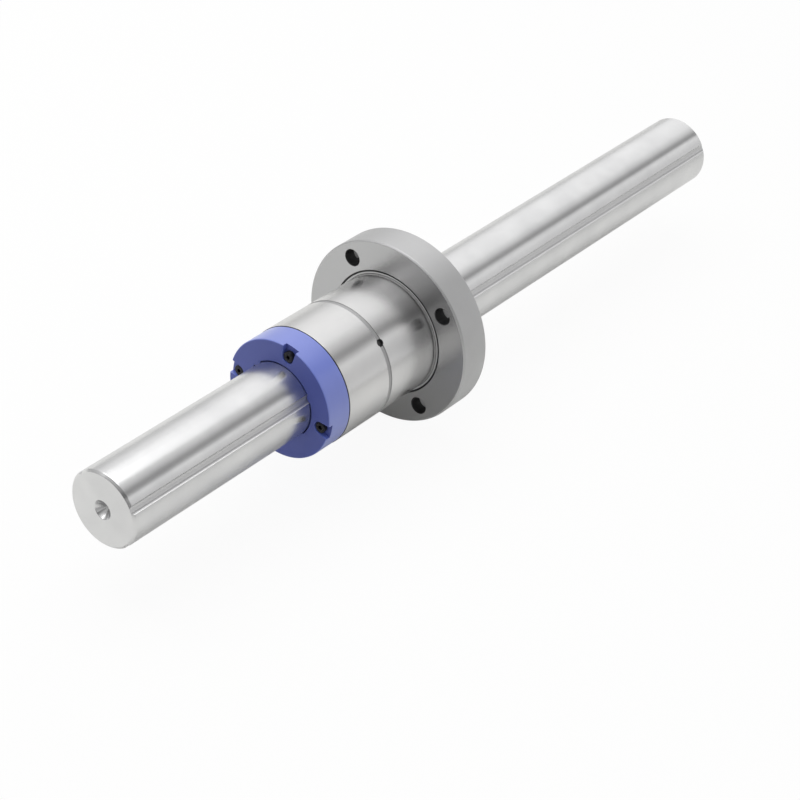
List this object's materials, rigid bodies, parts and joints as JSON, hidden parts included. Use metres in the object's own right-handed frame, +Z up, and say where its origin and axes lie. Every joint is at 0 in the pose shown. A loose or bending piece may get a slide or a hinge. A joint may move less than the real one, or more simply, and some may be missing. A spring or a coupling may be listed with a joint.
{
  "type": "ball spline",
  "caption": "Ball spline: a straight grooved steel shaft carries a flanged ball nut that slides along it, passes torque to it and bolts into a machine plate.",
  "frame": {"origin": "on the shaft's axis, in the plane of the flange's seat face, which is the face on the barrel's side", "axes": "+X along the shaft, from the barrel of the nut towards its flange; +Z up, midway between two of the flange's bolt holes; +Y completes a right-handed frame"},
  "size_m": [0.6, 0.125, 0.125],
  "materials": {
    "ground_shaft_steel": "induction hardened, ground bright",
    "ground_nut_steel": "hardened, turned flange and ground barrel",
    "blue_moulded_plastic": "moulded acetal, satin",
    "black_oxide_screws": "black oxide on alloy steel, oiled",
    "guide_plastic": "moulded acetal",
    "black_retainer_strip": "moulded, matte",
    "bearing_balls": "lapped chrome steel"
  },
  "bodies": {
    "nut": {"nut_body": "ground_nut_steel", "end_cap_barrel": "blue_moulded_plastic", "cap_screws_barrel": "black_oxide_screws", "turn_guide_barrel_1": "guide_plastic", "turn_guide_barrel_2": "guide_plastic", "turn_guide_barrel_3": "guide_plastic", "turn_guide_barrel_4": "guide_plastic", "end_cap_flange": "blue_moulded_plastic", "cap_screws_flange": "black_oxide_screws", "turn_guide_flange_1": "guide_plastic", "turn_guide_flange_2": "guide_plastic", "turn_guide_flange_3": "guide_plastic", "turn_guide_flange_4": "guide_plastic", "ball_retainer_1": "black_retainer_strip", "loaded_balls_1": "bearing_balls", "return_balls_1": "bearing_balls", "ball_retainer_2": "black_retainer_strip", "loaded_balls_2": "bearing_balls", "return_balls_2": "bearing_balls", "ball_retainer_3": "black_retainer_strip", "loaded_balls_3": "bearing_balls", "return_balls_3": "bearing_balls", "ball_retainer_4": "black_retainer_strip", "loaded_balls_4": "bearing_balls", "return_balls_4": "bearing_balls"},
    "shaft": {"spline_shaft": "ground_shaft_steel"}
  },
  "joints": [
    {"name": "shaft_slide", "type": "slide", "parent": "nut", "child": "shaft", "axis": [1, 0, 0], "range_m": [-0.315, 0.145]}
  ]
}
